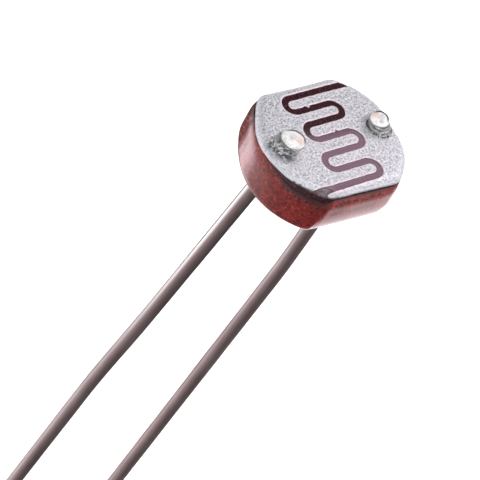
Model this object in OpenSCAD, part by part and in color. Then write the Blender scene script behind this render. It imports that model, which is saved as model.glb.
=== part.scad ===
// Photoresistor: a light-dependent resistor on a flat-sided ceramic disc.
// +Z is the way the sensing face looks. The origin lies on the flat back, midway
// between the leads, and the leads run down along -Z. All sizes are in millimetres.

/* [Body] */
// Diameter of the sensing face, over the electrode film
face_d = 5.1; // [4.9:0.05:5.5]
// Width of the sensing face across its two flats
face_flats = 4.3; // [4.2:0.05:4.4]
// Thickness of the body, from its back to its face
body_h = 1.9; // [1.7:0.05:2.3]
// Radius of the rounded rim of the face
rim_round = 0.3; // [0.26:0.01:0.34]

/* [Sealing coat] */
// How far the coat stands out past the rim of the face
coat_proud = 0.06; // [0.05:0.01:0.1]
// Height of the coat's upper edge below the face
coat_drop = 0.36; // [0.34:0.01:0.44]
// Radius of the coat's upper edge
coat_shoulder = 0.1; // [0.06:0.01:0.1]
// Radius of the coat's back edge
back_round = 0.5; // [0.4:0.01:0.54]
// Thickness of the coat under the ceramic
coat_back = 0.4; // [0.35:0.01:0.45]
// Radius of the resin that runs out around each lead at the back
run_r = 0.52; // [0.5:0.01:0.54]
// Distance that the resin runs down each lead
run_h = 0.2; // [0.12:0.01:0.21]

/* [Films] */
// Thickness of the light-sensitive layer
layer_t = 0.05; // [0.04:0.01:0.07]
// Thickness of the electrode film
electrode_t = 0.03; // [0.02:0.01:0.04]
// How far the electrode film wraps down over the rim
electrode_wrap = 0.24; // [0.15:0.01:0.25]

/* [Serpentine track] */
// Width of the bare track between the electrodes
track_w = 0.23; // [0.16:0.01:0.28]
// Distance between neighbouring runs of the track
run_pitch = 0.59; // [0.56:0.01:0.6]
// Turn of the track against the flats, in degrees
track_turn = 2.5; // [0:0.5:4]
// Places of the bends on the left, from the top one down
left_bends = [-0.81, -0.75, -0.90]; // [-1:0.01:-0.6]
// Places of the bends on the right, from the top one down
right_bends = [1.06, 1.00, 0.84]; // [0.7:0.01:1.1]

/* [Leads] */
// Diameter of the wire
lead_d = 0.5; // [0.45:0.01:0.52]
// Distance between the leads at the face
lead_pitch = 3.6; // [3.5:0.05:3.7]
// Distance from the back to the free end of each lead
lead_len = 28; // [24:0.5:35]
// Diameter of the two holes in the ceramic
lead_hole_d = 0.76; // [0.74:0.01:0.8]

/* [Solder caps] */
// Diameter of each cap
cap_d = 0.76; // [0.7:0.01:0.84]
// Height of each cap above the face
cap_h = 0.4; // [0.34:0.01:0.5]
// Diameter of the collar around each cap's foot
collar_d = 1.04; // [1:0.01:1.1]

/* [Hidden] */
$fn = 96;
eps = 0.5;
runs = 7;
far = 4;

face_r = face_d / 2;
flat_y = face_flats / 2;
films_t = layer_t + electrode_t;

// Ceramic wafer under the films
cer_r = face_r - films_t;
cer_y = flat_y - films_t;
cer_top = body_h - films_t;
cer_foot = 0.15;

// Light-sensitive layer over the wafer; its skirt reaches down behind the coat
lay_r = face_r - electrode_t;
lay_y = flat_y - electrode_t;
lay_top = body_h - electrode_t;
lay_low = body_h - coat_drop - 0.14;

// Coat around both
coat_r = face_r + coat_proud;
coat_y = flat_y + coat_proud;
coat_top = body_h - coat_drop;

// Each lead is one wire with two slight kinks. Its three stretches are given by their
// lean towards +X and +Y in degrees and by their length, and the last one runs on to
// the free end. The wire is a little swollen at each kink.
left_top = [-lead_pitch / 2, 0, body_h];
right_top = [lead_pitch / 2, 0, body_h];
left_lean = [[-1.9, 6.3], [-2.2, 7.1], [-1.5, 5.3]];
left_run = [10.5, 4];
right_lean = [[2.6, 1.4], [1.4, 3.1], [0.2, 4.8]];
right_run = [4.2, 3.3];
kink_d = lead_d + 0.02;
tip_z = -lead_len;
// Height of a lead's top end above the face, inside its cap
lead_up = 0.2;

function unit(v) = v / norm(v);
function lean_dir(a) = unit([tan(a[0]), tan(a[1]), -1]);
// Where stretch i of a lead starts
function start_of(top, lean, run, i) =
    i == 0 ? top : start_of(top, lean, run, i - 1) + lean_dir(lean[i - 1]) * run[i - 1];
// Where a lead's first stretch passes height z
function at_height(top, lean, z) =
    let (d = lean_dir(lean)) top + d * ((z - top[2]) / d[2]);

// The holes stand where each lead is half way through the ceramic
mid_z = (cer_top + coat_back) / 2;
left_hole = at_height(left_top, left_lean[0], mid_z);
right_hole = at_height(right_top, right_lean[0], mid_z);
left_exit = at_height(left_top, left_lean[0], 0);
right_exit = at_height(right_top, right_lean[0], 0);

// Places of the runs and the bends, before the track is turned. Left bend k joins
// runs 2k and 2k+1, and right bend k joins runs 2k+1 and 2k+2.
bend_rad = run_pitch / 2;
in_rad = bend_rad - track_w / 2;
out_rad = bend_rad + track_w / 2;
function run_y(i) = ((runs - 1) / 2 - i) * run_pitch;
function left_c(k) = [left_bends[k] + bend_rad, (run_y(2 * k) + run_y(2 * k + 1)) / 2];
function right_c(k) = [right_bends[k] - bend_rad, (run_y(2 * k + 1) + run_y(2 * k + 2)) / 2];
function run_x0(i) = i == runs - 1 ? -far : left_c(floor(i / 2))[0];
function run_x1(i) = i == 0 ? far : right_c(floor((i - 1) / 2))[0];

// Section from the middle out to w, between heights z0 and z1, with its outer
// corners rounded by rt at the top and rb at the bottom
module half_section(w, z0, z1, rt, rb) {
    difference() {
        translate([0, z0]) square([w, z1 - z0]);
        if (rt > 0) translate([w - rt, z1 - rt]) difference() {
            square([rt + eps, rt + eps]);
            circle(r = rt);
        }
        if (rb > 0) translate([w - rb, z0 + rb]) difference() {
            translate([0, -rb - eps]) square([rb + eps, rb + eps]);
            circle(r = rb);
        }
    }
}

// Disc of radius r with flats at plus and minus y, rounded along its top and bottom edges
module flat_disc(r, y, z0, z1, rt, rb) {
    intersection() {
        rotate_extrude() half_section(r, z0, z1, rt, rb);
        translate([-r - eps, 0, 0]) rotate([90, 0, 90]) linear_extrude(2 * r + 2 * eps) union() {
            half_section(y, z0, z1, rt, rb);
            mirror([1, 0]) half_section(y, z0, z1, rt, rb);
        }
    }
}

// The wafer, the wafer with its layer, and the face with its electrodes, each as one solid
module wafer() flat_disc(cer_r, cer_y, coat_back, cer_top, rim_round - films_t, cer_foot);
module layer_hull() flat_disc(lay_r, lay_y, lay_low, lay_top, rim_round - electrode_t, 0);
module film_hull() flat_disc(face_r, flat_y, body_h - electrode_wrap, body_h, rim_round, 0);

// One hole for a lead, through the wafer and the films
module lead_hole(h) translate([h[0], h[1], 0]) cylinder(h = body_h + eps, d = lead_hole_d);

// Half ring of one bend, on side s of its centre c
module bend_band(c, s) {
    translate(c) intersection() {
        difference() {
            circle(r = out_rad);
            circle(r = in_rad);
        }
        translate([s > 0 ? 0 : -far, -far]) square([far, 2 * far]);
    }
}

// The whole bare track
module track() {
    for (i = [0 : runs - 1])
        translate([run_x0(i), run_y(i) - track_w / 2])
            square([run_x1(i) - run_x0(i), track_w]);
    for (k = [0 : 2]) {
        bend_band(left_c(k), -1);
        bend_band(right_c(k), 1);
    }
}

// Fingers of the right electrode, each with its round end inside a left bend
module right_fingers() {
    for (k = [0 : 2]) {
        translate(left_c(k)) circle(r = in_rad);
        translate([left_c(k)[0], left_c(k)[1] - in_rad]) square([far, 2 * in_rad]);
    }
}

// Ground of the right electrode: all that lies right of the right bends or under
// the last run, with the fingers
module right_ground() {
    difference() {
        union() {
            translate([0, -far]) square([far, far + run_y(0) - track_w / 2]);
            translate([-far, -far]) square([2 * far, far + run_y(runs - 1) - track_w / 2]);
        }
        for (k = [0 : 2]) {
            translate([-far, right_c(k)[1] - out_rad])
                square([far + right_c(k)[0], 2 * out_rad]);
            translate(right_c(k)) circle(r = out_rad);
        }
    }
    right_fingers();
}

// Electrode film over the whole face, with the hole for one lead
module film(hole) {
    difference() {
        film_hull();
        layer_hull();
        lead_hole(hole);
    }
}

// Straight wire from p in direction d
module wire(p, d, len) {
    translate(p) rotate([0, acos(d[2]), atan2(d[1], d[0])]) cylinder(h = len, d = lead_d);
}

// One whole lead
module lead(top, lean, run) {
    last = len(lean) - 1;
    for (i = [0 : last]) {
        d = lean_dir(lean[i]);
        p = start_of(top, lean, run, i);
        up = i == 0 ? lead_up : 0;
        wire(p - d * up, d, up + (i == last ? (tip_z - p[2]) / d[2] : run[i]));
        if (i > 0) translate(p) sphere(d = kink_d);
    }
}

// The stretch of a lead that passes through the body
module lead_core(top, lean) {
    d = lean_dir(lean);
    wire(top - d * lead_up, d, body_h + lead_up + eps);
}

// Resin that runs out around a lead at the back, hollow-cheeked
module resin_run(exit) {
    translate([exit[0], exit[1], 0]) rotate_extrude() difference() {
        translate([0, -run_h]) square([run_r, run_h + 0.2]);
        translate([run_r, -run_h - 0.02]) circle(r = run_h);
    }
}

// Cap of solder on a lead's top end: a round-topped stub on a hollow-cheeked collar
module cap(top, lean) {
    cheek = (collar_d - cap_d) / 2 - 0.02;
    difference() {
        translate([top[0], top[1], body_h]) rotate_extrude() union() {
            half_section(cap_d / 2, 0, cap_h, 0.22, 0);
            difference() {
                square([collar_d / 2, cheek + 0.02]);
                translate([collar_d / 2, cheek + 0.02]) circle(r = cheek);
            }
        }
        lead_core(top, lean);
    }
}

module sealing_coat() {
    color([0.47, 0.11, 0.09]) difference() {
        union() {
            flat_disc(coat_r, coat_y, 0, coat_top, coat_shoulder, back_round);
            resin_run(left_exit);
            resin_run(right_exit);
        }
        wafer();
        layer_hull();
        lead_core(left_top, left_lean[0]);
        lead_core(right_top, right_lean[0]);
    }
}

module ceramic_base() {
    color([0.88, 0.85, 0.78]) difference() {
        wafer();
        lead_hole(left_hole);
        lead_hole(right_hole);
    }
}

module photo_layer() {
    color([0.24, 0.1, 0.11]) difference() {
        layer_hull();
        wafer();
        lead_hole(left_hole);
        lead_hole(right_hole);
    }
}

module electrode_left() {
    color([0.78, 0.78, 0.81]) difference() {
        film(left_hole);
        translate([0, 0, body_h - 1]) linear_extrude(2) rotate(track_turn) union() {
            track();
            right_ground();
        }
    }
}

module electrode_right() {
    color([0.78, 0.78, 0.81]) intersection() {
        film(right_hole);
        translate([0, 0, body_h - 1]) linear_extrude(2) rotate(track_turn) right_ground();
    }
}

module lead_left() {
    color([0.55, 0.53, 0.53]) lead(left_top, left_lean, left_run);
}

module lead_right() {
    color([0.55, 0.53, 0.53]) lead(right_top, right_lean, right_run);
}

module solder_cap_left() {
    color([0.93, 0.92, 0.9]) cap(left_top, left_lean[0]);
}

module solder_cap_right() {
    color([0.93, 0.92, 0.9]) cap(right_top, right_lean[0]);
}

sealing_coat();
ceramic_base();
photo_layer();
electrode_left();
electrode_right();
lead_left();
lead_right();
solder_cap_left();
solder_cap_right();
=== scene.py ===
import math

import bpy
import numpy as np
from mathutils import Matrix, Vector
from mathutils.geometry import delaunay_2d_cdt


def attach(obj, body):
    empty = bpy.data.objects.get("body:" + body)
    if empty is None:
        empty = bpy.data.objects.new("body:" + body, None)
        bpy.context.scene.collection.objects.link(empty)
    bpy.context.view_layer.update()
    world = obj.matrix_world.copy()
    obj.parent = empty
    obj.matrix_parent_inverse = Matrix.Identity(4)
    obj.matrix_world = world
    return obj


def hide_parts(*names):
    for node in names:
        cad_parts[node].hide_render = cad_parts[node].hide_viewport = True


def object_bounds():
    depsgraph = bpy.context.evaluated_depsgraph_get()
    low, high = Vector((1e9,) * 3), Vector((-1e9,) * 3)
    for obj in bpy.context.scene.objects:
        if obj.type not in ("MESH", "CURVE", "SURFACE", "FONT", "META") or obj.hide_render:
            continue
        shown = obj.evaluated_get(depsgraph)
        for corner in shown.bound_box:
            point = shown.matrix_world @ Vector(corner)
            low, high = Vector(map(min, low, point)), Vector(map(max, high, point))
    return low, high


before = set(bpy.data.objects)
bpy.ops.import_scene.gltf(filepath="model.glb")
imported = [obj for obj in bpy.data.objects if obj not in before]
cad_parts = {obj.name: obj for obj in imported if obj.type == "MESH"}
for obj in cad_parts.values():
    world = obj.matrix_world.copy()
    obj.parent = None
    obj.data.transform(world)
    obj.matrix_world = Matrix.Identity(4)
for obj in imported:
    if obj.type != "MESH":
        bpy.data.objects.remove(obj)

cad_box = [list(v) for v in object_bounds()]

# Sizes are in millimetres, as in the CAD model, and become metres when a mesh is made.
MM = 0.001

# ---------------------------------------------------------------- the body's outline
# Every outline is a base shape (a disc cut by two flats) grown by some offset, so that
# the corners between the arcs and the flats are rounded. At CORNER it is the face's edge.
FACE_R, FLAT_Y, TOP = 2.55, 2.15, 1.9
CORNER = 0.5
RIM = 0.3
RIM_IN = CORNER - RIM
BASE_R, BASE_Y = FACE_R - CORNER, FLAT_Y - CORNER
BASE_X = math.sqrt(BASE_R**2 - BASE_Y**2)
BEND = math.atan2(BASE_Y, BASE_X)
FILM_T, LAYER_T = 0.03, 0.05


def rim_feet(n):
    """n feet on the base shape and their outward normals, evenly along the rim, anticlockwise from +X."""
    arc, fan = FACE_R * BEND, CORNER * (math.pi / 2 - BEND)
    quarter = arc + fan + BASE_X
    s = np.arange(n) * (4 * quarter / n)
    q = np.minimum((s // quarter).astype(int), 3)
    r = s - q * quarter
    r = np.where(q % 2 == 1, quarter - r, r)
    turn = np.where(r < arc, r / FACE_R, np.minimum(BEND + (r - arc) / CORNER, math.pi / 2))
    nx, ny = np.cos(turn), np.sin(turn)
    fx = np.where(r < arc, BASE_R * nx, np.where(r < arc + fan, BASE_X, np.maximum(quarter - r, 0)))
    fy = np.where(r < arc, BASE_R * ny, BASE_Y)
    sx = np.where((q == 1) | (q == 2), -1.0, 1.0)
    sy = np.where(q >= 2, -1.0, 1.0)
    return np.column_stack([fx * sx, fy * sy]), np.column_stack([nx * sx, ny * sy])


def foot_of(p):
    """Foot, outward normal and offset of plan points; the offset is -1 inside the base shape."""
    a, sign = np.abs(p), np.where(p < 0, -1.0, 1.0)
    rad = np.maximum(np.hypot(a[:, 0], a[:, 1]), 1e-9)
    on_arc = np.arctan2(a[:, 1], a[:, 0]) <= BEND
    on_flat = ~on_arc & (a[:, 0] <= BASE_X)
    level = np.column_stack([a[:, 0], np.full(len(a), BASE_Y)])
    f = np.where(on_arc[:, None], a / rad[:, None] * BASE_R, np.where(on_flat[:, None], level, [[BASE_X, BASE_Y]]))
    d = a - f
    off = np.maximum(np.linalg.norm(d, axis=1), 1e-9)
    inside = (rad <= BASE_R) & (a[:, 1] <= BASE_Y)
    return f * sign, d / off[:, None] * sign, np.where(inside, -1.0, off)


def unroll(p):
    """Plan points to points on the face rolled out flat, rim included."""
    f, n, o = foot_of(p)
    g = np.where(
        o < CORNER,
        RIM_IN + RIM * np.arcsin(np.clip((o - RIM_IN) / RIM, 0, 1)),
        RIM_IN + RIM * math.pi / 2 + (o - CORNER),
    )
    return np.where((o > RIM_IN)[:, None], f + n * g[:, None], p)


def on_face(p, lift):
    """Points on the rolled-out face to the round-rimmed face, lifted along its normal."""
    f, n, o = foot_of(p)
    th = np.clip((o - RIM_IN) / RIM, 0, math.pi / 2)
    r = RIM + lift
    level = np.column_stack([p, np.broadcast_to(TOP + lift, len(p))])
    rolled = np.column_stack([f + n * (RIM_IN + r * np.sin(th))[:, None], TOP - RIM + r * np.cos(th)])
    return np.where((o > RIM_IN)[:, None], rolled, level)


# how much fuller than an even disc the body is, in millimetres, by direction in degrees
FULLER = (
    (-90, -0.02), (-75, -0.01), (-60, 0.0), (-46, 0.03), (-29, 0.04), (-20, 0.02), (-14, 0.0), (-6, -0.05), (2, -0.03), (10, 0.05), (18, 0.11), (29, 0.12), (40, 0.135), (46, 0.15),
    (51, 0.12), (58, 0.08), (64, 0.055), (78, 0.05), (103, 0.05), (120, 0.045), (128, 0.02), (142, -0.05), (156, -0.04), (170, 0.0), (214, -0.02), (240, -0.025), (270, -0.02),
)


def uneven(v):
    """Points of the body with its slight unevenness: fuller on one side, with a sharper rim there."""
    v = np.array(v, float)
    deg = (np.degrees(np.arctan2(v[:, 1], v[:, 0])) + 90) % 360 - 90
    r = np.maximum(np.hypot(v[:, 0], v[:, 1]), 1e-9)
    t = np.clip((r - 1.5) / 0.85, 0, 1)
    grow = np.interp(deg, *zip(*FULLER)) * t * t * (3 - 2 * t)
    f, n, o = foot_of(v[:, :2])
    th = np.arcsin(np.clip((o - RIM_IN) / RIM, 0, 1))
    lift = 0.13 * np.exp(-(((deg - 15) / 55) ** 4)) * np.sin(th) ** 2 * np.cos(th) * (v[:, 2] > TOP - RIM - FILM_T)
    v[:, :2] += v[:, :2] / r[:, None] * grow[:, None] + n * (lift * np.sin(th))[:, None]
    v[:, 2] += lift * np.cos(th)
    return v


def waver(s, wave, phase=0.0):
    """Smooth unevenness from -1 to 1 along s, with bumps about wave long."""
    k = 2 * math.pi / wave
    return (
        0.45 * np.sin(k * s + phase)
        + 0.30 * np.sin(1.73 * k * s + 2.1 + 1.7 * phase)
        + 0.25 * np.sin(2.91 * k * s + 4.4 + 0.6 * phase)
    )


def hump(s, at, width):
    return np.exp(-(((s - at) / width) ** 2))


# ---------------------------------------------------------------- mesh helpers
def add_piece(name, verts, faces, material, nodes, attributes=None, smooth=True):
    """A mesh piece from millimetre points, riding on the part and standing for CAD nodes."""
    mesh = bpy.data.meshes.new(name)
    mesh.from_pydata((np.asarray(verts, float) * MM).tolist(), [], [list(map(int, f)) for f in faces])
    mesh.validate()
    if smooth:
        mesh.polygons.foreach_set("use_smooth", [True] * len(mesh.polygons))
    for key, values in (attributes or {}).items():
        layer = mesh.attributes.new(key, "FLOAT", "POINT")
        layer.data.foreach_set("value", np.asarray(values, np.float32))
    mesh.materials.append(material)
    mesh.update()
    piece = bpy.data.objects.new(name, mesh)
    bpy.context.scene.collection.objects.link(piece)
    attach(piece, "root")
    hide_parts(*nodes)
    return piece


def loft(rings, close_start=True, close_end=True):
    """Points and faces of a closed surface through rings of equally many points. A closed end gets a middle point."""
    n = len(rings[0])
    verts = [p for ring in rings for p in ring]
    faces = []
    for i in range(len(rings) - 1):
        a, b = i * n, (i + 1) * n
        for j in range(n):
            k = (j + 1) % n
            faces.append((a + j, a + k, b + k, b + j))
    if close_start:
        verts.append(np.mean(rings[0], axis=0))
        c = len(verts) - 1
        faces += [(c, (j + 1) % n, j) for j in range(n)]
    if close_end:
        verts.append(np.mean(rings[-1], axis=0))
        c, a = len(verts) - 1, (len(rings) - 1) * n
        faces += [(c, a + j, a + (j + 1) % n) for j in range(n)]
    return np.array(verts), faces


def merge(parts):
    """Several (points, faces) as one."""
    verts, faces, base = [], [], 0
    for v, f in parts:
        verts.append(np.asarray(v, float))
        faces += [tuple(i + base for i in face) for face in f]
        base += len(v)
    return np.concatenate(verts), faces


# ---------------------------------------------------------------- materials
class Shader:
    """A node material with a Principled surface."""

    def __init__(self, name, **values):
        self.mat = bpy.data.materials.new(name)
        self.mat.use_nodes = True
        self.tree = self.mat.node_tree
        self.bsdf = self.tree.nodes["Principled BSDF"]
        for key, value in values.items():
            self.bsdf.inputs[key.replace("_", " ")].default_value = value
        self.coord = self.tree.nodes.new("ShaderNodeTexCoord")

    def put(self, socket, value):
        if isinstance(value, bpy.types.NodeSocket):
            self.tree.links.new(value, socket)
        else:
            socket.default_value = value

    def noise(self, size_mm, detail=2.0, rough=0.5, stretch=None, distort=0.0, shift=0.0):
        """Noise with grains about size_mm across, from the piece's own coordinates."""
        node = self.tree.nodes.new("ShaderNodeTexNoise")
        place = self.tree.nodes.new("ShaderNodeMapping")
        s = 1.0 / (size_mm * MM)
        place.inputs["Scale"].default_value = [s * k for k in (stretch or (1, 1, 1))]
        place.inputs["Location"].default_value = (shift, shift * 1.7, shift * 0.6)
        self.tree.links.new(self.coord.outputs["Object"], place.inputs["Vector"])
        self.tree.links.new(place.outputs["Vector"], node.inputs["Vector"])
        node.inputs["Scale"].default_value = 1.0
        node.inputs["Detail"].default_value = detail
        node.inputs["Roughness"].default_value = rough
        node.inputs["Distortion"].default_value = distort
        return node.outputs["Fac"]

    def attribute(self, name):
        node = self.tree.nodes.new("ShaderNodeAttribute")
        node.attribute_name = name
        return node.outputs["Fac"]

    def ramp(self, fac, *stops):
        """Colour ramp; each stop is (place, colour or grey)."""
        node = self.tree.nodes.new("ShaderNodeValToRGB")
        el = node.color_ramp.elements
        for i, (at, c) in enumerate(stops):
            e = el[i] if i < 2 else el.new(at)
            e.position = at
            e.color = (*c, 1.0) if isinstance(c, tuple) else (c, c, c, 1.0)
        self.put(node.inputs["Fac"], fac)
        return node.outputs["Color"]

    def span(self, value, a0, a1, b0, b1):
        node = self.tree.nodes.new("ShaderNodeMapRange")
        self.put(node.inputs["Value"], value)
        for key, v in zip(("From Min", "From Max", "To Min", "To Max"), (a0, a1, b0, b1)):
            node.inputs[key].default_value = v
        return node.outputs["Result"]

    def math(self, op, a, b=0.0):
        node = self.tree.nodes.new("ShaderNodeMath")
        node.operation = op
        self.put(node.inputs[0], a)
        self.put(node.inputs[1], b)
        return node.outputs["Value"]

    def mix(self, fac, a, b, blend="MIX"):
        node = self.tree.nodes.new("ShaderNodeMix")
        node.data_type = "RGBA"
        node.blend_type = blend
        self.put(node.inputs["Factor"], fac)
        self.put(node.inputs[6], a if not isinstance(a, tuple) else (*a, 1.0))
        self.put(node.inputs[7], b if not isinstance(b, tuple) else (*b, 1.0))
        return node.outputs[2]

    def bump(self, height, depth_mm, strength=1.0, under=None):
        node = self.tree.nodes.new("ShaderNodeBump")
        node.inputs["Strength"].default_value = strength
        node.inputs["Distance"].default_value = depth_mm * MM
        self.put(node.inputs["Height"], height)
        if under is not None:
            self.put(node.inputs["Normal"], under)
        return node.outputs["Normal"]

    def set(self, **links):
        for key, value in links.items():
            self.put(self.bsdf.inputs[key.replace("_", " ")], value)


def film_material():
    """Pale metal film on a sintered ground under clear lacquer: fine grain, dark pits, paler edges along the track."""
    m = Shader("electrode_film", Metallic=0.25, Specular_IOR_Level=0.5, Coat_Weight=0.7, Coat_Roughness=0.14)
    grain = m.noise(0.070, 3.0, 0.65)
    fine = m.noise(0.032, 2.0, 0.6, shift=3.0)
    cloud = m.noise(0.8, 2.0, 0.5, shift=7.0)
    base = m.ramp(grain, (0.34, (0.11, 0.11, 0.13)), (0.46, (0.45, 0.455, 0.48)), (0.60, (0.76, 0.77, 0.80)))
    base = m.mix(m.span(cloud, 0.35, 0.65, 0.0, 0.30), base, (0.54, 0.54, 0.58))
    pits = m.ramp(m.noise(0.075, 2.0, 0.6, shift=11.0), (0.60, 0.0), (0.68, 1.0))
    base = m.mix(m.math("MULTIPLY", pits, 0.60), base, (0.20, 0.19, 0.22))
    base = m.mix(m.math("MULTIPLY", m.attribute("edge"), 0.75), base, (0.92, 0.77, 0.82))
    # painted highlight: the film is painted paler and bluer over its rounded rim, standing in for light falling there
    base = m.mix(m.math("MULTIPLY", m.attribute("rim"), 0.42), base, (0.86, 0.84, 0.93))
    # dull, blotchy stains beside the caps, partly real paste smudges and partly painted shadow of the caps
    blot = m.ramp(m.noise(0.13, 3.0, 0.7, shift=21.0), (0.40, 0.0), (0.53, 1.0))
    haze = m.math("MULTIPLY", m.attribute("stain_and_shadow"), 0.45)
    base = m.mix(haze, base, (0.20, 0.20, 0.21))
    base = m.mix(m.math("MULTIPLY", m.attribute("stain_and_shadow"), blot), base, (0.045, 0.045, 0.050))
    # painted shade: a ragged, darkened rim at the lower left
    ragged = m.span(m.math("ADD", m.attribute("ragged_rim_shade"), m.noise(0.10, 3.0, 0.7, shift=27.0)), 0.95, 1.20, 0.0, 0.92)
    base = m.mix(ragged, base, (0.026, 0.018, 0.023))
    rough = m.span(fine, 0.3, 0.7, 0.36, 0.58)
    m.set(Base_Color=base, Roughness=rough, Normal=m.bump(grain, 0.009, 0.8, m.bump(fine, 0.003, 0.6)))
    return m.mat


def layer_material():
    """Dark maroon sensing layer under clear lacquer, with fine grain."""
    m = Shader("sensing_film", Metallic=0.0, Specular_IOR_Level=0.75, Specular_Tint=(1.0, 0.70, 0.88, 1.0))
    grain = m.noise(0.085, 4.0, 0.7)
    cloud = m.noise(0.5, 2.0, 0.5, shift=5.0)
    base = m.ramp(grain, (0.34, (0.008, 0.002, 0.003)), (0.50, (0.026, 0.006, 0.007)), (0.66, (0.085, 0.034, 0.038)))
    base = m.mix(m.span(cloud, 0.35, 0.65, 0.0, 0.4), base, (0.034, 0.006, 0.007))
    worn = m.math("MULTIPLY", m.attribute("worn"), m.span(m.noise(0.09, 3.0, 0.7, shift=8.0), 0.35, 0.6, 0.35, 1.0))
    base = m.mix(worn, base, (0.25, 0.205, 0.235))
    m.set(Base_Color=base, Roughness=m.span(grain, 0.3, 0.7, 0.03, 0.07), Normal=m.bump(grain, 0.0012, 0.15))
    return m.mat


def resin_material():
    """Glossy deep red resin with dark specks under its skin, darker just under the face's edge: partly the sensing
    layer showing through thin resin, partly painted shade.
    """
    m = Shader("resin", Metallic=0.0, Specular_IOR_Level=0.5)
    cloud = m.noise(0.9, 3.0, 0.55)
    grain = m.noise(0.095, 5.0, 0.75, shift=4.0)
    base = m.ramp(grain, (0.36, (0.028, 0.004, 0.004)), (0.47, (0.170, 0.0130, 0.0110)), (0.66, (0.235, 0.030, 0.026)))
    base = m.mix(m.span(cloud, 0.38, 0.62, 0.0, 0.45), base, (0.10, 0.006, 0.005))
    base = m.mix(1.0, base, m.ramp(m.noise(0.24, 2.0, 0.6, shift=31.0), (0.36, 0.66), (0.50, 1.0), (0.64, 1.28)), "MULTIPLY")
    specks = m.ramp(m.noise(0.085, 2.0, 0.55, shift=9.0), (0.57, 0.0), (0.64, 1.0))
    base = m.mix(m.math("MULTIPLY", specks, 0.75), base, (0.030, 0.004, 0.004))
    # painted shade under the face's edge, partly the dark sensing layer showing through thin resin
    ragged = m.math("MULTIPLY", m.attribute("thin"), m.span(m.noise(0.25, 3.0, 0.6, shift=13.0), 0.3, 0.6, 0.75, 1.25))
    base = m.mix(ragged, base, (0.016, 0.003, 0.004))
    wave = m.noise(0.55, 2.0, 0.5, shift=2.0)
    gloss = m.math("ADD", m.span(grain, 0.3, 0.7, 0.18, 0.30), m.math("MULTIPLY", m.attribute("thin"), 0.10))
    m.set(Base_Color=base, Roughness=gloss, Normal=m.bump(wave, 0.02, 0.4, m.bump(m.noise(0.17, 3.0, 0.6, shift=17.0), 0.006, 0.3)))
    return m.mat


def lead_material():
    """Tinned wire gone dull: brownish satin metal with fine lines along its length, faint patches, a painted highlight
    streak and a painted shade streak.
    """
    m = Shader("lead_wire", Metallic=1.0)
    lines = m.noise(0.045, 3.0, 0.6, stretch=(1.0, 1.0, 0.02))
    patch = m.noise(0.6, 3.0, 0.6, stretch=(1.0, 1.0, 0.35), shift=5.0)
    base = m.ramp(patch, (0.30, (0.285, 0.206, 0.211)), (0.52, (0.335, 0.246, 0.252)), (0.72, (0.385, 0.296, 0.302)))
    base = m.mix(m.span(lines, 0.35, 0.7, 0.0, 0.35), base, (0.23, 0.160, 0.165))
    # painted shade: a dark streak down one side of the wire
    base = m.mix(m.math("MULTIPLY", m.attribute("dark"), 0.8), base, (0.085, 0.070, 0.074))
    # painted highlight: a pale, glossier streak down another side
    base = m.mix(m.attribute("bright"), base, (0.68, 0.65, 0.66))
    rough = m.span(m.math("ADD", m.math("MULTIPLY", lines, 0.6), m.math("MULTIPLY", patch, 0.4)), 0.3, 0.7, 0.42, 0.56)
    rough = m.math("SUBTRACT", rough, m.math("MULTIPLY", m.attribute("bright"), 0.28))
    m.set(Base_Color=base, Roughness=rough, Normal=m.bump(lines, 0.003, 0.5))
    return m.mat


def solder_material():
    """Cap with a pale top painted as a highlight over a grey, ridged wall, dark lines of painted shade under the top's
    edge, round its far side and in its dimples, and a dull, speckled foot, partly paste and partly painted shade.
    """
    m = Shader("solder", Metallic=0.20, Specular_IOR_Level=0.5)
    grain = m.noise(0.05, 3.0, 0.65)
    cloud = m.noise(0.22, 2.0, 0.5, shift=3.0)
    blot = m.ramp(m.noise(0.13, 3.0, 0.7, shift=21.0), (0.40, 0.0), (0.53, 1.0))
    bands = m.noise(0.11, 2.0, 0.5, stretch=(0.35, 0.35, 1.2), shift=6.0)
    # painted highlight: the top is painted much paler than the grey wall below it
    top = m.ramp(cloud, (0.34, (0.68, 0.68, 0.67)), (0.48, (0.88, 0.88, 0.87)), (0.66, (0.93, 0.91, 0.89)))
    top = m.mix(m.math("MULTIPLY", m.attribute("warm"), 0.85), top, (0.70, 0.52, 0.46))
    wall = m.ramp(bands, (0.36, (0.15, 0.15, 0.16)), (0.48, (0.40, 0.40, 0.41)), (0.60, (0.76, 0.76, 0.77)))
    wall = m.mix(m.span(grain, 0.45, 0.7, 0.0, 0.5), wall, (0.22, 0.22, 0.23))
    base = m.mix(m.attribute("crown"), wall, top)
    flecks = m.ramp(m.noise(0.085, 2.0, 0.6, shift=15.0), (0.45, 0.0), (0.53, 1.0))
    # the dull foot: dark flecks of paste with painted shade, heaviest towards spread
    dull = m.mix(blot, m.mix(flecks, (0.72, 0.72, 0.73), (0.20, 0.20, 0.21)), m.mix(flecks, (0.14, 0.14, 0.15), (0.015, 0.015, 0.017)))
    base = m.mix(m.attribute("dull"), base, dull)
    # painted shade: dark lines under the top's edge, round its far side and in its dimples
    base = m.mix(m.attribute("painted_shade"), base, (0.030, 0.028, 0.028))
    m.set(Base_Color=base, Roughness=m.span(grain, 0.3, 0.7, 0.22, 0.42), Normal=m.bump(grain, 0.006, 0.5))
    return m.mat


def ceramic_material():
    """Fired ceramic, off-white and fine-grained."""
    m = Shader("ceramic", Metallic=0.0, Specular_IOR_Level=0.4)
    grain = m.noise(0.06, 3.0, 0.6)
    base = m.ramp(grain, (0.35, (0.66, 0.62, 0.53)), (0.65, (0.80, 0.77, 0.70)))
    m.set(Base_Color=base, Roughness=m.span(grain, 0.3, 0.7, 0.55, 0.75), Normal=m.bump(grain, 0.006, 0.6))
    return m.mat


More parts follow.
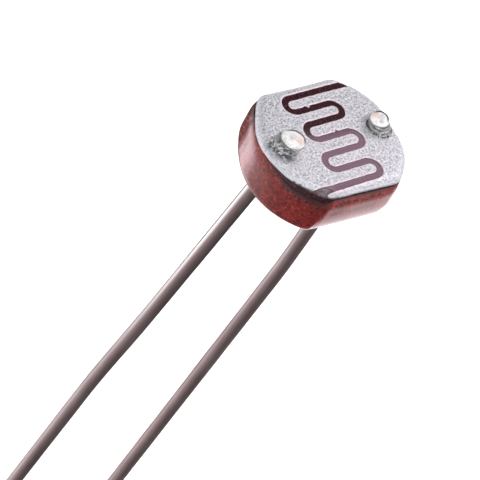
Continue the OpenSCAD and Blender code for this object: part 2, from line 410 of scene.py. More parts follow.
FILM, LAYER, RESIN = film_material(), layer_material(), resin_material()
WIRE, SOLDER, CERAMIC = lead_material(), solder_material(), ceramic_material()

# ---------------------------------------------------------------- electrodes and their track
TURN = math.radians(2.5)
RUN_Y = (1.745, 1.186, 0.622, 0.008, -0.600, -1.207, -1.800)
LEFT_BENDS = (-0.81, -0.75, -0.90)
RIGHT_BENDS = (1.06, 1.00, 0.84)
HALF = 0.115
STEP = 0.02


def track_line():
    """Middle of the track from the right rim to the left one, as points with their left-hand normals, in the turned frame."""
    pts = []

    def straight(x0, x1, y):
        n = max(2, int(abs(x1 - x0) / STEP))
        pts.extend((x, y) for x in np.linspace(x0, x1, n, endpoint=False))

    def arc(cx, cy, r, a0, a1):
        n = max(6, int(abs(a1 - a0) * r / STEP))
        pts.extend((cx + r * math.cos(a), cy + r * math.sin(a)) for a in np.linspace(a0, a1, n, endpoint=False))

    x = 4.0
    for i in range(7):
        y = RUN_Y[i]
        if i == 6:
            straight(x, -4.0, y)
        elif i % 2 == 0:
            r = (y - RUN_Y[i + 1]) / 2
            cx = LEFT_BENDS[i // 2] + r
            straight(x, cx, y)
            arc(cx, y - r, r, math.pi / 2, 3 * math.pi / 2)
            x = cx
        else:
            r = (y - RUN_Y[i + 1]) / 2
            cx = RIGHT_BENDS[i // 2] - r
            straight(x, cx, y)
            arc(cx, y - r, r, math.pi / 2, -math.pi / 2)
            x = cx
    p = np.array(pts + [(-4.0, RUN_Y[6])])
    d = np.gradient(p, axis=0)
    d /= np.linalg.norm(d, axis=1)[:, None]
    return p, np.column_stack([-d[:, 1], d[:, 0]])


def turned(p):
    c, s = math.cos(TURN), math.sin(TURN)
    return np.column_stack([p[:, 0] * c - p[:, 1] * s, p[:, 0] * s + p[:, 1] * c])


def track_edges():
    """The track's two edges in plan: the one beside the left electrode and the one beside the right electrode."""
    mid, left = track_line()
    s = np.concatenate([[0], np.cumsum(np.linalg.norm(np.diff(mid, axis=0), axis=1))])
    x, y = mid[:, 0], mid[:, 1]
    near = lambda px, py, w: np.exp(-(((x - px) ** 2 + (y - py) ** 2) / w**2))
    wide_l = HALF + 0.007 * waver(s, 0.55, 0.4) + 0.003 * waver(s, 0.17, 1.9)
    wide_r = HALF + 0.007 * waver(s, 0.61, 2.6) + 0.003 * waver(s, 0.15, 0.7)
    # the track opens a little where its first run leaves over the rim
    wide_l += 0.05 * np.clip((x - 1.25) / 0.6, 0, 1) ** 2 * (y > 1.6)
    # and spreads where its last run leaves over the rim
    wide_l += 0.08 * np.clip((-1.25 - x) / 0.7, 0, 1) ** 1.5 * (y < RUN_Y[6] + 1e-6)
    # a nick in the second run's upper edge, and a nub over the fourth run
    wide_r -= 0.080 * near(-0.04, RUN_Y[1], 0.050)
    wide_r += 0.030 * near(-0.15, RUN_Y[1], 0.045)
    wide_r += 0.080 * near(0.31, RUN_Y[3], 0.042)
    edge_l = mid - left * wide_l[:, None]
    edge_r = mid + left * wide_r[:, None]
    # the strip under the last run ends in a round corner short of the rim
    last = np.nonzero((y < RUN_Y[6] + 1e-6) & (x < -1.51))[0][0]
    r, ex, ey = 0.19, *edge_r[last]
    a = np.linspace(0, math.pi / 2, 16)[1:]
    corner = np.column_stack([ex - r * np.sin(a), ey - r + r * np.cos(a)])
    down = np.column_stack([np.full(60, ex - r), np.linspace(ey - r, ey - 1.4, 61)[1:]])
    edge_r = np.concatenate([edge_r[: last + 1], corner, down])
    return turned(edge_l), turned(edge_r)


def clear_of(points, line, chunk=1500):
    """Distance of each point to a polyline."""
    a, b = line[:-1], line[1:]
    d = b - a
    dd = np.maximum((d**2).sum(1), 1e-12)
    out = np.empty(len(points))
    for i in range(0, len(points), chunk):
        p = points[i : i + chunk, None, :]
        t = np.clip(((p - a) * d).sum(2) / dd, 0, 1)
        out[i : i + chunk] = np.sqrt((((a + d * t[..., None]) - p) ** 2).sum(2).min(1))
    return out


def in_polygon(points, poly):
    inside = np.zeros(len(points), bool)
    x, y = points[:, 0], points[:, 1]
    x0, y0 = poly[-1]
    for x1, y1 in poly:
        if y0 != y1:
            inside ^= ((y0 > y) != (y1 > y)) & (x < (x1 - x0) * (y - y0) / (y1 - y0) + x0)
        x0, y0 = x1, y1
    return inside


LEFT_AT, RIGHT_AT = np.array([-1.8, 0.0]), np.array([1.8, 0.0])
HOLE = 0.30


# stains and painted shadow beside the caps on the film: place, reach and strength
STAINS_AND_SHADOWS = {
    "electrode_left": ((-2.27, 0.20, 0.17, 0.9), (-2.20, -0.06, 0.24, 1.0), (-2.04, -0.32, 0.28, 1.0)),
    "electrode_right": ((1.62, 0.30, 0.20, 0.5), (1.78, -0.30, 0.30, 0.4)),
}


def make_electrodes():
    # the track keeps its place where the face around it is fuller
    placed = (2 * e - uneven(np.column_stack([e, np.full(len(e), TOP)]))[:, :2] for e in track_edges())
    edge_l, edge_r = (unroll(e) for e in placed)
    feet, out = rim_feet(520)
    round_s = np.arange(520) / 520
    reach = RIM_IN + 0.405 + 0.014 * waver(round_s, 1 / 9, 0.3) + 0.007 * waver(round_s, 1 / 41, 1.1)
    reach += 0.035 * np.exp(-(((np.degrees(np.arctan2(out[:, 1], out[:, 0])) % 360 - 168) / 27) ** 4))
    outer = feet + out * reach[:, None]

    def inside(p, margin=0.0):
        f, n, o = foot_of(p)
        return o < RIM_IN + 0.38 - margin

    def trim(line):
        keep = foot_of(line)[2] < RIM_IN + 0.52
        i = np.nonzero(keep)[0]
        return line[max(i[0] - 1, 0) : i[-1] + 2]

    edge_l, edge_r = trim(edge_l), trim(edge_r)
    holes = []
    for c in (LEFT_AT, RIGHT_AT):
        a = np.arange(40) / 40 * 2 * math.pi
        holes.append(np.column_stack([c[0] + HOLE * np.cos(a), c[1] + HOLE * np.sin(a)]))

    # rows of points along the edges, then a grid over the rest
    def rows(line, side):
        d = np.gradient(line, axis=0)
        d /= np.maximum(np.linalg.norm(d, axis=1), 1e-9)[:, None]
        n = np.column_stack([-d[:, 1], d[:, 0]]) * side
        return [line + n * k for k in (0.012, 0.030, 0.060)]

    extra = np.concatenate([*rows(edge_l, -1.0), *rows(edge_r, 1.0)])
    g = 0.045
    gx, gy = np.meshgrid(np.arange(-3.1, 3.1, g), np.arange(-2.7, 2.7, g * 0.866))
    gx = gx + (np.arange(len(gx)) % 2)[:, None] * g / 2
    grid = np.column_stack([gx.ravel(), gy.ravel()])
    grid = grid[inside(grid)]
    both = np.minimum(clear_of(grid, edge_l), clear_of(grid, edge_r))
    grid = grid[both > 0.075]
    extra = extra[inside(extra)]
    both = np.minimum(clear_of(extra, edge_l), clear_of(extra, edge_r))
    extra = extra[both > 0.0085]
    free = np.concatenate([grid, extra])
    for c in (LEFT_AT, RIGHT_AT):
        free = free[np.abs(np.linalg.norm(free - c, axis=1) - HOLE) > 0.02]

    points, edges = [], []

    def lay(line, closed):
        base = sum(len(p) for p in points)
        points.append(line)
        edges.extend((base + i, base + i + 1) for i in range(len(line) - 1))
        if closed:
            edges.append((base + len(line) - 1, base))

    lay(outer, True)
    lay(edge_l, False)
    lay(edge_r, False)
    for h in holes:
        lay(h, True)
    points.append(free)
    flat = np.concatenate(points)
    made = delaunay_2d_cdt([Vector(p) for p in flat.tolist()], edges, [], 0, 1e-6)
    verts = np.array([tuple(v) for v in made[0]])
    tris = np.array([f for f in made[2] if len(f) == 3])
    mid = verts[tris].mean(1)
    face = in_polygon(mid, outer)
    for c in (LEFT_AT, RIGHT_AT):
        face &= np.linalg.norm(mid - c, axis=1) > HOLE * 0.995
    upper = np.concatenate([edge_l, [[-5, edge_l[-1, 1]], [-5, 5], [5, 5], [5, edge_l[0, 1]]]])
    lower = np.concatenate([edge_r, [[edge_r[-1, 0], -5], [5, -5], [5, edge_r[0, 1]]]])
    sides = {
        "electrode_left": (face & in_polygon(mid, upper), edge_l),
        "electrode_right": (face & in_polygon(mid, lower), edge_r),
    }
    for name, (pick, line) in sides.items():
        t = tris[pick]
        a, b, c = verts[t[:, 0]], verts[t[:, 1]], verts[t[:, 2]]
        area = (b[:, 0] - a[:, 0]) * (c[:, 1] - a[:, 1]) - (b[:, 1] - a[:, 1]) * (c[:, 0] - a[:, 0])
        t = np.where((area < 0)[:, None], t[:, ::-1], t)
        used = np.unique(t)
        index = np.full(len(verts), -1)
        index[used] = np.arange(len(used))
        t, p = index[t], verts[used]
        d = clear_of(p, line)
        rim_d = clear_of(p, np.concatenate([outer, outer[:1]]))
        # the film thins out over its last hundredths of a millimetre
        thin = 0.013 * np.clip(1 - d / 0.022, 0, 1) ** 2 + 0.014 * np.clip(1 - rim_d / 0.05, 0, 1) ** 2
        ridge = 0.005 * hump(d, 0.04, 0.022)
        top = on_face(p, ridge - np.minimum(thin, 0.02))
        under = on_face(p, np.full(len(p), 0.0005 - FILM_T))
        n = len(p)
        pairs = np.concatenate([t[:, [0, 1]], t[:, [1, 2]], t[:, [2, 0]]])
        seen = {}
        for i, j in pairs.tolist():
            seen[(i, j)] = True
        border = [(i, j) for i, j in seen if (j, i) not in seen]
        faces = t.tolist() + (t[:, ::-1] + n).tolist() + [(j, i, i + n, j + n) for i, j in border]
        edge = np.clip(1 - d / 0.075, 0, 1)
        # how far each point lies over the rounded rim, where the film gets a painted highlight
        rim = np.clip((foot_of(p)[2] - RIM_IN) / 0.3, 0, 1)
        # blotches beside the caps: partly paste smudges, partly painted shadow of the caps
        stain_and_shadow = np.zeros(len(p))
        for cx, cy, wide, share in STAINS_AND_SHADOWS[name]:
            stain_and_shadow += share * np.exp(-((p[:, 0] - cx) ** 2 + (p[:, 1] - cy) ** 2) / wide**2)
        # and gets ragged painted shade along the lower left of its rim
        turn = np.degrees(np.arctan2(p[:, 1], p[:, 0])) % 360
        ragged_rim_shade = np.clip(1 - rim_d / 0.20, 0, 1) * np.exp(-(((turn - 226) / 24) ** 4))
        marks = {"edge": edge, "rim": rim, "stain_and_shadow": np.clip(stain_and_shadow, 0, 1), "ragged_rim_shade": ragged_rim_shade}
        add_piece(
            name + "_film", uneven(np.concatenate([top, under])), faces, FILM, [name],
            {k: np.concatenate([v, v]) for k, v in marks.items()},
        )


make_electrodes()

# ---------------------------------------------------------------- sensing layer
AROUND = 480
FEET, OUT = rim_feet(AROUND)
ROUND_S = np.arange(AROUND) / AROUND


def ring_at(off, z, scale=1.0):
    off = np.broadcast_to(off, AROUND)
    xy = (FEET + OUT * off[:, None]) * scale
    return np.column_stack([xy, np.broadcast_to(z, AROUND)])


def make_layer():
    def skin(grow):
        """Rings from the middle of the top, over the rim and down the side."""
        rings = [ring_at(RIM_IN, TOP - FILM_T - grow, k) for k in np.linspace(0.04, 1, 30)]
        r = RIM - FILM_T - grow
        for a in np.linspace(0, math.pi / 2, 13)[1:]:
            rings.append(ring_at(RIM_IN + r * math.sin(a), TOP - RIM + r * math.cos(a)))
        rings += [ring_at(RIM_IN + r, z) for z in (1.54, 1.47, 1.40)]
        return rings

    outer_v, outer_f = loft(skin(0.0) + skin(LAYER_T - 0.002)[::-1])
    worn = np.exp(-((outer_v[:, 0] + 1.62) ** 2 / 0.34**2 + (outer_v[:, 1] + 1.88) ** 2 / 0.17**2))
    worn *= np.clip((outer_v[:, 2] - 1.62) / 0.12, 0, 1)
    add_piece("sensing_layer", uneven(outer_v), [f[::-1] for f in outer_f], LAYER, ["photo_layer"], {"worn": worn})


make_layer()

# ---------------------------------------------------------------- resin coat
COAT_OUT, COAT_TOP, BACK_ROUND = CORNER + 0.06, 1.54, 0.5


def lead_axis(top, leans, runs, total):
    """Points along a lead from inside its cap to its free end, with the kinks eased."""
    def aim(lx, ly):
        v = np.array([math.tan(math.radians(lx)), math.tan(math.radians(ly)), -1.0])
        return v / np.linalg.norm(v)

    knots = np.concatenate([[0], np.cumsum(runs)])
    step = 0.02
    s = np.arange(0, total, step)
    lean = np.zeros((len(s), 2))
    lean[:] = leans[0]
    for k in range(1, len(leans)):
        ease = np.clip((s - knots[k]) / 3.0 + 0.5, 0, 1)
        ease = ease * ease * (3 - 2 * ease)
        lean += ease[:, None] * (np.array(leans[k]) - np.array(leans[k - 1]))
    p = np.array([top[0], top[1], TOP]) - aim(*leans[0]) * 0.2
    pts = [p]
    down = np.arange(0, 0.2, step)
    for _ in down:
        p = p + aim(*leans[0]) * step
        pts.append(p)
    for lx, ly in lean:
        p = p + aim(lx, ly) * step
        pts.append(p)
    pts = np.array(pts)
    return pts[pts[:, 2] > -28.0]


LEFT_LINE = lead_axis((-1.8, 0.0), [(-1.9, 6.3), (-2.2, 7.1), (-1.5, 5.3)], [10.5, 4.0], 31.0)
RIGHT_LINE = lead_axis((1.8, 0.0), [(2.6, 1.4), (1.4, 3.1), (0.2, 4.8)], [4.2, 3.3], 31.0)


def at_height(line, z):
    i = int(np.argmin(np.abs(line[:, 2] - z)))
    return line[i]


def make_coat():
    s = ROUND_S
    turn = np.degrees(np.arctan2(OUT[:, 1], OUT[:, 0])) % 360
    low = np.exp(-(((turn - 226) / 34) ** 2))
    high = np.exp(-(((turn - 294) / 36) ** 4))
    left = np.exp(-(((turn - 170) / 27) ** 4))
    lip = COAT_TOP + 0.012 * waver(s, 1 / 3, 0.9) + 0.008 * waver(s, 1 / 11, 2.0) - 0.10 * low + 0.085 * high + 0.10 * left
    full = np.where(np.abs(OUT[:, 1]) > 0.9999, np.clip(1 - (FEET[:, 0] / BASE_X) ** 2, 0, 1), 0.0)
    swell = 0.008 * waver(s, 1 / 4, 0.2) + 0.03 * full
    rings, thin = [], []

    def add(ring, share=0.0):
        rings.append(ring)
        thin.append(np.broadcast_to(share, AROUND))

    for off, z, k in ((0.30, 0.35, 0.05), (0.30, 0.35, 0.35), (0.30, 0.35, 0.7), (0.30, 0.35, 1), (0.44, 0.45, 1), (0.44, 1.0, 1)):
        add(ring_at(off, z, k))
    # thin marks where the coat is darkened under the face's edge: partly thin resin over the dark layer, partly painted
    # shade
    add(ring_at(0.462, lip - 0.30), 1.0)
    add(ring_at(0.466, lip - 0.03), 1.0)
    # how far down the darkening reaches: furthest at the lower left, as painted shade, and in a narrow wedge near 136
    # degrees, as a painted dark reflection
    fade = 0.09 + 0.33 * low - 0.055 * high - 0.07 * left + 0.22 * np.exp(-(((turn - 136) / 13) ** 2))
    for k in np.linspace(0, 1, 15):
        drop = 0.45 * k
        grow = (1 - (1 - k) ** (2.6 - 1.5 * low)) * (COAT_OUT + swell - 0.474)
        add(ring_at(0.474 + grow, lip - drop), np.clip(1 - drop / fade, 0, 1) ** 1.3 * (1 - 0.8 * left))
    back = BACK_ROUND - 0.2 * np.exp(-(((turn - 222) / 46) ** 4))
    tuck = 0.12 * np.exp(-(((turn - 303) / 20) ** 2))
    # the back edge is round, and drawn out into a long soft slope over the flats
    flat = np.exp(-((((turn % 180) - 90) / 30) ** 4))
    back_in, back_up = back + (0.30 - back) * flat, back + (0.90 - back) * flat
    for k in np.linspace(0, 1, 9)[1:]:
        z = (lip - 0.45) * (1 - k) + back_up * k
        add(ring_at(COAT_OUT + swell, z))
    for a in np.linspace(0, math.pi / 2, 25)[1:]:
        add(ring_at(COAT_OUT + swell * math.cos(a) - (back_in + tuck) * (1 - math.cos(a)), back_up * (1 - math.sin(a))))
    for k in np.linspace(1, 0.03, 34)[1:]:
        ring = ring_at(COAT_OUT - tuck - back_in, 0.0, k)
        ring[:, 2] = 0.012 * (1 - k) ** 0.5 * waver(ring[:, 0] + 0.4 * ring[:, 1], 2.3, 0.8) * waver(ring[:, 1] - 0.3 * ring[:, 0], 1.9, 0.1)
        ring[:, 2] = np.abs(ring[:, 2])
        add(ring)
    v, f = loft(rings)
    parts = [(uneven(v), [q[::-1] for q in f])]
    marks = np.concatenate(thin)
    # resin drawn a little way down each lead
    for line, phase in ((LEFT_LINE, 0.5), (RIGHT_LINE, 2.2)):
        n = 64
        a = np.arange(n) / n * 2 * math.pi
        lobes = 1 + 0.05 * np.sin(2 * a + phase) + 0.035 * np.sin(3 * a + 2 * phase)
        sheath = []
        for z, r in ((0.06, 0.50), (0.012, 0.515), (-0.012, 0.475), (-0.035, 0.425), (-0.065, 0.378), (-0.100, 0.340), (-0.140, 0.312), (-0.175, 0.290), (-0.196, 0.268), (-0.204, 0.240)):
            c = at_height(line, z)
            fade = min(1.0, max(0.0, (r - 0.24) / 0.2))
            rr = r * (1 + (lobes - 1) * fade)
            dz = 0.02 * np.sin(a + phase) * (1 if z < -0.1 else 0)
            sheath.append(np.column_stack([c[0] + rr * np.cos(a), c[1] + rr * np.sin(a), np.full(n, z) + dz]))
        v, f = loft(sheath)
        parts.append((v, [q[::-1] for q in f]))
    v, f = merge(parts)
    marks = np.concatenate([marks, np.zeros(len(v) - len(marks))])
    add_piece("resin_coat", v, f, RESIN, ["sealing_coat"], {"thin": marks})


make_coat()

# ---------------------------------------------------------------- leads
def make_lead(name, line, phase, streak):
    """Wire swept along its line, with a square-cut free end that is slightly burred, and a painted highlight streak and
    a painted shade streak that are strongest near its top.
    """
    n, r = 40, 0.25
    a = np.arange(n) / n * 2 * math.pi
    pick = list(range(0, len(line) - 8, 10)) + [len(line) - 8, len(line) - 4, len(line) - 2, len(line) - 1]
    tangent = np.gradient(line, axis=0)
    tangent /= np.linalg.norm(tangent, axis=1)[:, None]
    rings = []
    s = 0.0
    for q, i in enumerate(pick):
        t = tangent[i]
        u = np.cross(t, [0.0, 1.0, 0.0])
        u /= np.linalg.norm(u)
        w = np.cross(t, u)
        s = i * 0.02
        rr = r * (1 + 0.008 * np.sin(2 * a + 0.21 * s + phase) * math.sin(0.9 * s + phase) + 0.004 * math.sin(2.3 * s))
        if i == len(line) - 1:
            rr = rr * 0.90
        elif i == len(line) - 2:
            rr = rr * 0.965
        if i <= 2:
            rr = rr * (0.9 + 0.05 * i)
        rings.append(line[i] + np.outer(np.cos(a) * rr, u) + np.outer(np.sin(a) * rr, w))
    tip = rings[-1]
    tip[:, 2] += 0.05 * (np.cos(a - phase) - 1) * 0.5 + 0.03
    inner = tip.mean(0) + (tip - tip.mean(0)) * 0.55
    inner[:, 2] += 0.004
    rings.append(inner)
    v, f = loft(rings)
    middle = [np.interp(-v[:, 2], -line[:, 2], line[:, k]) for k in (0, 1)]
    # painted highlight on the side facing 146 degrees and painted shade 126 degrees further round, by direction round
    # the wire
    off = np.degrees(np.arctan2(v[:, 1] - middle[1], v[:, 0] - middle[0])) - 146
    off = (off + 180) % 360 - 180
    fade = streak * np.clip((v[:, 2] + 13) / 10, 0.25, 1)
    bright = np.exp(-((off / 33) ** 6)) * fade
    dark = np.exp(-((((off - 126) + 180) % 360 - 180) / 25) ** 4) * fade
    add_piece(name + "_wire", v, f, WIRE, [name], {"bright": bright, "dark": dark})


make_lead("lead_left", LEFT_LINE, 0.3, 1.0)
make_lead("lead_right", RIGHT_LINE, 1.7, 0.35)

# ---------------------------------------------------------------- solder caps
FAR = math.radians(24)


def make_cap(name, at, top_at, top_r, foot_r, height, phase, spread, painted_shade, ridge, smudge_and_shade, tilt, warm, dimples):
    """A short stub of solder: an uneven foot that reaches furthest towards spread, dull with paste and painted shade, a
    ridged wall, painted shade under the top's edge and round its far side, and a pale top painted as a highlight.
    """
    n = 96
    a = np.arange(n) / n * 2 * math.pi
    lobe = 1 + 0.022 * np.sin(2 * a + phase) + 0.016 * np.sin(3 * a + 2.3 * phase) + 0.008 * np.sin(7 * a + phase)
    ragged = 0.035 * np.sin(3 * a + phase) + 0.03 * np.sin(5 * a + 1.3 * phase) + 0.02 * np.sin(11 * a + 2 * phase) + 0.015 * np.sin(17 * a)
    near = 0.5 + 0.5 * np.cos(a - spread[0])
    far = np.clip((np.cos(a - FAR) - 0.05) / 0.6, 0, 1)
    foot = foot_r * (1 + ragged) + spread[1] * near**2
    waist = (top_r + 0.035) * lobe
    rings, marks = [], {"crown": [], "dull": [], "painted_shade": []}

    def add(r, k, crown=0.0, dull=0.0, dark=0.0):
        r = np.broadcast_to(r, n)
        x = at[0] + (top_at[0] - at[0]) * k + r * np.cos(a)
        y = at[1] + (top_at[1] - at[1]) * k + r * np.sin(a)
        z = TOP + height * k
        if k > 0.7:
            z = z + 0.012 * waver(1.6 * x + y, 0.8, phase)
            z = z + tilt * min(1.0, (k - 0.7) / 0.25) * ((x - top_at[0]) * math.cos(FAR) + (y - top_at[1]) * math.sin(FAR))
            for dx, dy, wide, deep in dimples:
                z = z - deep * np.exp(-((x - top_at[0] - dx) ** 2 + (y - top_at[1] - dy) ** 2) / wide**2)
        rings.append(np.column_stack([x, y, np.broadcast_to(z, n)]))
        for key, value in (("crown", crown), ("dull", dull * (0.4 + 0.6 * near)), ("painted_shade", dark)):
            marks[key].append(np.broadcast_to(np.clip(value, 0, 1), n))

    # the foot, dull with paste smudges and painted shade, heaviest towards spread
    for share, k, dull in ((1.0, -0.04, 1.0), (0.98, 0.015, 1.0), (0.74, 0.05, 1.0), (0.48, 0.10, 0.9), (0.27, 0.18, 0.7), (0.12, 0.28, 0.45)):
        add(waist + (foot - waist) * share, k, dull=dull)
    # the wall is darkened towards spread: partly smudges, partly painted shade
    for k in np.linspace(0.36, 0.76, 9):
        add(waist + ridge * math.sin(2 * math.pi * (k - 0.36) / 0.2), k, dull=smudge_and_shade * near)
    # painted shade: a dark line under the top's edge, heaviest on one side, and a dark ring round the far side
    under = painted_shade[1] * np.clip(0.5 + 0.9 * np.cos(a - painted_shade[0]), 0, 1)
    add((top_r + 0.016) * lobe, 0.82, crown=0.1, dark=0.4 * under)
    add((top_r + 0.006) * lobe, 0.86, crown=0.3, dark=under)
    add((top_r + 0.010) * lobe, 0.895, crown=0.8, dark=np.maximum(0.4 * under, 0.5 * far))
    add((top_r - 0.004) * lobe, 0.935, crown=1.0, dark=far)
    add((top_r - 0.030) * lobe, 0.962, crown=1.0, dark=far)
    add((top_r - 0.056) * lobe, 0.978, crown=1.0, dark=far)
    add((top_r - 0.076) * lobe, 0.988, crown=1.0, dark=0.7 * far)
    add((top_r - 0.096) * lobe, 0.994, crown=1.0)
    for share in (0.66, 0.60, 0.54, 0.48, 0.38, 0.28, 0.18, 0.08):
        add(top_r * share * lobe, 1.0 + 0.03 * (0.8 - share), crown=1.0)
    v, f = loft(rings)
    ends = {"crown": (0.0, 1.0), "dull": (1.0, 0.0), "painted_shade": (0.0, 0.0)}
    values = {key: np.concatenate([*marks[key], ends[key]]) for key in marks}
    # painted shade in the dimples of the top
    for dx, dy, wide, deep in dimples:
        close = np.exp(-((v[:, 0] - top_at[0] - dx) ** 2 + (v[:, 1] - top_at[1] - dy) ** 2) / (0.7 * wide) ** 2)
        values["painted_shade"] = np.clip(values["painted_shade"] + 16 * deep * close * values["crown"], 0, 1)
    values["warm"] = np.exp(-((v[:, 0] - top_at[0] - warm[0]) ** 2 + (v[:, 1] - top_at[1] - warm[1]) ** 2) / warm[2] ** 2)
    add_piece(name + "_bead", v, f, SOLDER, [name], values)


make_cap(
    "solder_cap_left", (-1.84, 0.06), (-1.725, -0.030), 0.398, 0.43, 0.38, 0.8, (math.radians(205), 0.10), (math.radians(250), 0.8), 0.006, 0.9, 0.0,
    (0.16, -0.12, 0.16), ((-0.10, 0.05, 0.10, 0.015),),
)
make_cap(
    "solder_cap_right", (1.90, -0.10), (1.795, -0.015), 0.305, 0.41, 0.39, 2.4, (math.radians(285), 0.06), (math.radians(200), 1.0), 0.016, 0.1, 0.24,
    (-0.05, 0.17, 0.15), ((-0.02, -0.10, 0.06, 0.035), (0.14, 0.10, 0.05, 0.02)),
)

# ---------------------------------------------------------------- the ceramic wafer stays as it is
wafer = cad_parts["ceramic_base"]
wafer.data.materials.clear()
wafer.data.materials.append(CERAMIC)

# ---------------------------------------------------------------- studio
def pale_floor():
    m = Shader("floor", Metallic=0.0, Specular_IOR_Level=0.3)
    cloud = m.noise(9.0, 2.0, 0.5)
    m.set(Base_Color=m.ramp(cloud, (0.3, 0.84), (0.7, 0.88)), Roughness=m.span(cloud, 0.3, 0.7, 0.55, 0.65))
    z = cad_box[0][2] - 0.00002
    half = 0.6
    mesh = bpy.data.meshes.new("floor")
    mesh.from_pydata([(-half, -half, z), (half, -half, z), (half, half, z), (-half, half, z)], [], [(0, 1, 2, 3)])
    mesh.materials.append(m.mat)
    floor = bpy.data.objects.new("floor", mesh)
    bpy.context.scene.collection.objects.link(floor)
    # the floor is left out of mirror images and of the light on the part, where the world's lower half stands for it
    floor.visible_glossy = False
    floor.visible_diffuse = False
    floor.visible_shadow = False


pale_floor()


def soft_light(name, at, target, size, radiance, tint=(1.0, 1.0, 1.0), spread=180.0, seen=True, only=()):
    """A soft panel of the given size and radiance, at a place in millimetres, that faces target and may light some objects only."""
    data = bpy.data.lights.new(name, "AREA")
    data.shape = "RECTANGLE"
    data.size, data.size_y = size[0] * MM, size[1] * MM
    data.energy = radiance * math.pi * data.size * data.size_y
    data.color = tint
    data.spread = math.radians(spread)
    lamp = bpy.data.objects.new(name, data)
    lamp.location = Vector(at) * MM
    lamp.rotation_euler = (Vector(target) - Vector(at)).to_track_quat("-Z", "Y").to_euler()
    lamp.visible_camera = False
    lamp.visible_glossy = seen
    bpy.context.scene.collection.objects.link(lamp)
    if only:
        falls_on = bpy.data.collections.new(name + "_falls_on")
        for receiver in only:
            falls_on.objects.link(bpy.data.objects[receiver])
        lamp.light_linking.receiver_collection = falls_on


# a key from the viewer's side, a broad panel overhead, one that the lower half of the face mirrors,
# one for the floor, and low ones that the body's sides and the leads mirror
soft_light("key_panel", (-37, -42, 72), (0, 0, 0), (44, 44), 0.60, spread=22.0, seen=False)
soft_light("top_panel", (-20, 0, 130), (0, 0, 0), (120, 120), 0.95)
soft_light("face_panel", (58, -4.60, 41), (58, -4.60, 0), (68, 59.5), 2.5, (1.0, 0.90, 0.98))
soft_light("floor_panel", (0, 0, 90), (0, 0, -28), (3000, 3000), 1.18, seen=False, only=["floor"])
soft_light("left_panel", (-25, 54, -48), (-1, 1, 0), (46, 52), 3.5, (1.0, 0.80, 0.86), only=["resin_coat"])
soft_light("side_panel", (43, 4, -55), (0, -2, 0), (90, 60), 1.75, (1.0, 0.92, 0.95), only=["resin_coat"])
soft_light("side_panel_wide", (41, -4, -52), (0, -2, 0), (120, 70), 0.35, (1.0, 0.92, 0.95), only=["resin_coat"])
soft_light("side_fill", (60, -48, -20), (0, 0, 0), (60, 60), 5.0, seen=False, only=["resin_coat"])
soft_light("left_fill", (-72, 8, -15), (0, 0, 0), (60, 60), 1.4, seen=False, only=["resin_coat"])
soft_light("lead_panel", (185, -185, -150), (0, 0, -14), (230, 230), 0.50, only=["lead_left_wire", "lead_right_wire"])


# radiance of the world's lower half by azimuth in degrees: lighter behind the part, darker in front of it
BELOW = (
    (-60, 0.14), (-20, 0.16), (10, 0.30), (30, 0.60), (46, 0.60), (56, 0.06), (82, 0.06), (93, 1.20), (105, 1.60),
    (150, 1.60), (175, 0.90), (187, 0.62), (213, 0.37), (237, 0.22), (267, 0.16), (300, 0.14),
)


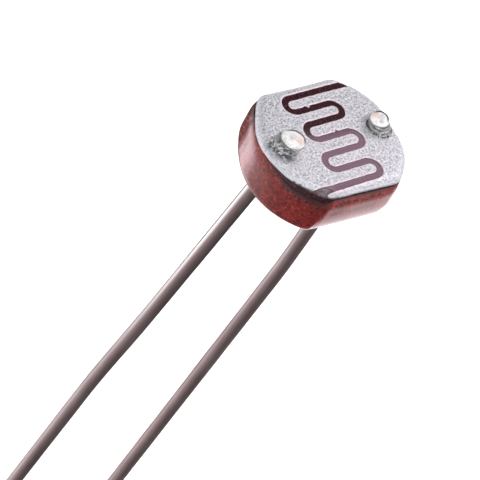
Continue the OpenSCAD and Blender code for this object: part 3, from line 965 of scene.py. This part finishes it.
def studio_world():
    """Dim above, pale round the horizon, and uneven below."""
    world = bpy.data.worlds.new("studio")
    bpy.context.scene.world = world
    world.use_nodes = True
    tree = world.node_tree

    def node(kind, **values):
        n = tree.nodes.new(kind)
        for key, value in values.items():
            setattr(n, key, value)
        return n

    def span(value, a0, a1, kind="LINEAR"):
        n = node("ShaderNodeMapRange", interpolation_type=kind)
        tree.links.new(value, n.inputs["Value"])
        n.inputs["From Min"].default_value, n.inputs["From Max"].default_value = a0, a1
        return n.outputs["Result"]

    def blend(fac, a, b):
        n = node("ShaderNodeMix", data_type="RGBA")
        tree.links.new(fac, n.inputs["Factor"])
        for socket, value in ((n.inputs[6], a), (n.inputs[7], b)):
            if isinstance(value, tuple):
                socket.default_value = (*value, 1.0)
            else:
                tree.links.new(value, socket)
        return n.outputs[2]

    way = node("ShaderNodeSeparateXYZ")
    tree.links.new(node("ShaderNodeTexCoord").outputs["Generated"], way.inputs[0])
    # azimuth from -60 to 300 degrees: measured from 120 degrees, where it doesn't wrap
    turn = math.radians(120)
    along, across = (node("ShaderNodeVectorMath", operation="DOT_PRODUCT") for _ in range(2))
    for n, axis in ((along, (math.cos(turn), math.sin(turn), 0.0)), (across, (-math.sin(turn), math.cos(turn), 0.0))):
        tree.links.new(way.inputs[0].links[0].from_socket, n.inputs[0])
        n.inputs[1].default_value = axis
    azimuth = node("ShaderNodeMath", operation="ARCTAN2")
    tree.links.new(across.outputs["Value"], azimuth.inputs[0])
    tree.links.new(along.outputs["Value"], azimuth.inputs[1])
    below = node("ShaderNodeValToRGB")
    tree.links.new(span(azimuth.outputs["Value"], -math.pi, math.pi), below.inputs["Fac"])
    el = below.color_ramp.elements
    for i, (deg, v) in enumerate(BELOW):
        at = (deg + 60) / 360
        e = el[0] if i == 0 else el[-1] if i == len(BELOW) - 1 else el.new(at)
        e.position, e.color = at, (v, v, v, 1.0)
    height = way.outputs["Z"]
    sky = blend(span(height, 0.18, 0.34, "SMOOTHSTEP"), (1.0, 1.0, 1.0), (0.155, 0.157, 0.16))
    colour = blend(span(height, -0.22, -0.36, "SMOOTHSTEP"), sky, below.outputs["Color"])
    tree.links.new(colour, tree.nodes["Background"].inputs["Color"])
    tree.nodes["Background"].inputs["Strength"].default_value = 1.0


studio_world()

scene = bpy.context.scene
scene.view_settings.view_transform = "Standard"
scene.view_settings.look = "None"

camera = bpy.data.cameras.new("camera")
camera.lens, camera.sensor_width = 187.5, 36.0
camera.clip_start, camera.clip_end = 0.002, 10.0
eye = bpy.data.objects.new("camera", camera)
eye.matrix_world = Matrix((
    (0.7770439, 0.2034086, -0.5956742, -0.04930898),
    (-0.5079969, 0.7614524, -0.4026530, -0.03239987),
    (0.3716744, 0.6154797, 0.6950129, 0.05300605),
    (0.0, 0.0, 0.0, 1.0),
))
scene.collection.objects.link(eye)
scene.camera = eye

bpy.context.view_layer.update()
